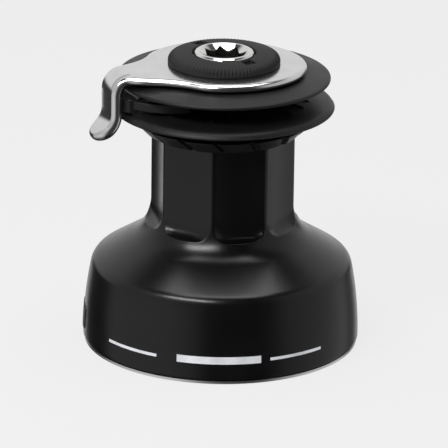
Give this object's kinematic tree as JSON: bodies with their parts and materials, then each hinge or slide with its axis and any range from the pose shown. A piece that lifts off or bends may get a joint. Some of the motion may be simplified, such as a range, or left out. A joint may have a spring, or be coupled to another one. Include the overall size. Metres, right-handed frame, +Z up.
{
  "type": "self-tailing sailboat winch",
  "caption": "Geared two-speed sheet winch with a fluted black drum, self-tailing rope jaws, a metal feeder arm and a star socket for a removable handle.",
  "frame": {"origin": "centre of the base's underside, where the winch stands on the deck", "axes": "+Z up along the drum's axis, -Y towards the side that the feeder arm's straight edge faces, -X towards the arm's leg"},
  "size_m": [0.1489, 0.1482, 0.1606],
  "materials": {
    "cast_base": "satin",
    "cast_stem": "satin",
    "steel_fastener": "satin",
    "steel_pin": "ground",
    "bronze": "machined",
    "resin": "matt",
    "arm_metal": "satin with polished edges",
    "stripper_plastic": "matt",
    "cap_plastic": "textured",
    "rubber": "matt",
    "drum_black": "satin black anodised",
    "steel_gear": "machined",
    "lifter_plastic": "satin",
    "jaw_plastic": "satin",
    "spring_steel": "bright",
    "badge_plastic": "matt",
    "spindle_chrome": "polished",
    "bronze_gear": "machined",
    "pawl_steel": "hardened",
    "steel_roller": "ground"
  },
  "bodies": {
    "frame": {"base_plate": "cast_base", "stem": "cast_stem", "stem_screws": "steel_fastener", "gear_pins": "steel_pin", "lower_spindle_bush": "bronze", "upper_spindle_bush": "bronze", "bearing_spacer": "resin", "drum_thrust_washer": "bronze", "feeder_arm": "arm_metal", "rope_stripper": "stripper_plastic", "stripper_screws": "steel_fastener", "top_cap": "cap_plastic", "cap_o_ring": "rubber"},
    "drum": {"drum_shell": "drum_black", "ring_gear": "steel_gear", "line_lifter": "lifter_plastic", "jaw_hub": "jaw_plastic", "upper_jaw": "jaw_plastic", "jaw_screws": "steel_fastener", "jaw_spring": "spring_steel", "size_badge": "badge_plastic"},
    "lower_jaw": {"lower_jaw": "jaw_plastic"},
    "spindle": {"drive_spindle": "spindle_chrome", "spindle_retaining_ring": "spring_steel", "gear_thrust_washer": "bronze", "pawl_springs": "spring_steel"},
    "first_gear": {"first_speed_gear": "bronze_gear"},
    "second_gear": {"second_speed_gear": "bronze_gear"},
    "cluster": {"cluster_gear": "steel_gear"},
    "idler": {"idler_gear": "steel_gear"},
    "pinion": {"drum_pinion": "steel_gear"},
    "first_pawl_a": {"first_speed_pawl_a": "pawl_steel"},
    "first_pawl_b": {"first_speed_pawl_b": "pawl_steel"},
    "second_pawl_a": {"second_speed_pawl_a": "pawl_steel"},
    "second_pawl_b": {"second_speed_pawl_b": "pawl_steel"},
    "lower_bearing": {"lower_bearing_cage": "resin", "lower_bearing_rollers": "steel_roller"},
    "upper_bearing": {"upper_bearing_cage": "resin", "upper_bearing_rollers": "steel_roller"}
  },
  "joints": [
    {"name": "drum_spin", "type": "hinge", "parent": "frame", "child": "drum", "pos_m": [0, 0, 0], "axis": [0, 0, 1], "continuous": true},
    {"name": "lower_jaw_slide", "type": "slide", "parent": "drum", "child": "lower_jaw", "axis": [0, 0, -1], "range_m": [0, 0.003], "stiffness_N_per_m": 4000, "springref_m": -0.003, "deforming": ["jaw_spring"]},
    {"name": "spindle_spin", "type": "hinge", "parent": "frame", "child": "spindle", "pos_m": [0, 0, 0], "axis": [0, 0, 1], "continuous": true},
    {"name": "first_gear_spin", "type": "hinge", "parent": "frame", "child": "first_gear", "pos_m": [0, 0, 0], "axis": [0, 0, 1], "continuous": true},
    {"name": "second_gear_spin", "type": "hinge", "parent": "frame", "child": "second_gear", "pos_m": [0, 0, 0], "axis": [0, 0, 1], "continuous": true},
    {"name": "cluster_spin", "type": "hinge", "parent": "frame", "child": "cluster", "pos_m": [0, 0.04, 0], "axis": [0, 0, 1], "continuous": true},
    {"name": "idler_spin", "type": "hinge", "parent": "frame", "child": "idler", "pos_m": [-0.03444, -0.01606, 0], "axis": [0, 0, 1], "continuous": true},
    {"name": "pinion_spin", "type": "hinge", "parent": "frame", "child": "pinion", "pos_m": [-0.01764, -0.0359, 0], "axis": [0, 0, 1], "continuous": true},
    {"name": "lower_bearing_spin", "type": "hinge", "parent": "frame", "child": "lower_bearing", "pos_m": [0, 0, 0], "axis": [0, 0, 1], "continuous": true},
    {"name": "upper_bearing_spin", "type": "hinge", "parent": "frame", "child": "upper_bearing", "pos_m": [0, 0, 0], "axis": [0, 0, 1], "continuous": true},
    {"name": "first_pawl_a_pivot", "type": "hinge", "parent": "spindle", "child": "first_pawl_a", "pos_m": [0.0082, 0, 0], "axis": [0, 0, 1], "range_deg": [0, 20]},
    {"name": "first_pawl_b_pivot", "type": "hinge", "parent": "spindle", "child": "first_pawl_b", "pos_m": [-0.00796, 0.00196, 0], "axis": [0, 0, 1], "range_deg": [0, 20]},
    {"name": "second_pawl_a_pivot", "type": "hinge", "parent": "spindle", "child": "second_pawl_a", "pos_m": [0.0082, 0, 0], "axis": [0, 0, 1], "range_deg": [-20, 0]},
    {"name": "second_pawl_b_pivot", "type": "hinge", "parent": "spindle", "child": "second_pawl_b", "pos_m": [-0.0082, 0, 0], "axis": [0, 0, 1], "range_deg": [-20, 0]}
  ],
  "couplings": [
    {"joint": "first_gear_spin", "follows": "drum_spin", "ratio": 2.0769},
    {"joint": "second_gear_spin", "follows": "drum_spin", "ratio": -4.7143},
    {"joint": "cluster_spin", "follows": "drum_spin", "ratio": 3.8571},
    {"joint": "idler_spin", "follows": "drum_spin", "ratio": -4.5},
    {"joint": "pinion_spin", "follows": "drum_spin", "ratio": 3.8571},
    {"joint": "lower_bearing_spin", "follows": "drum_spin", "ratio": 0.55278},
    {"joint": "upper_bearing_spin", "follows": "drum_spin", "ratio": 0.55278}
  ]
}
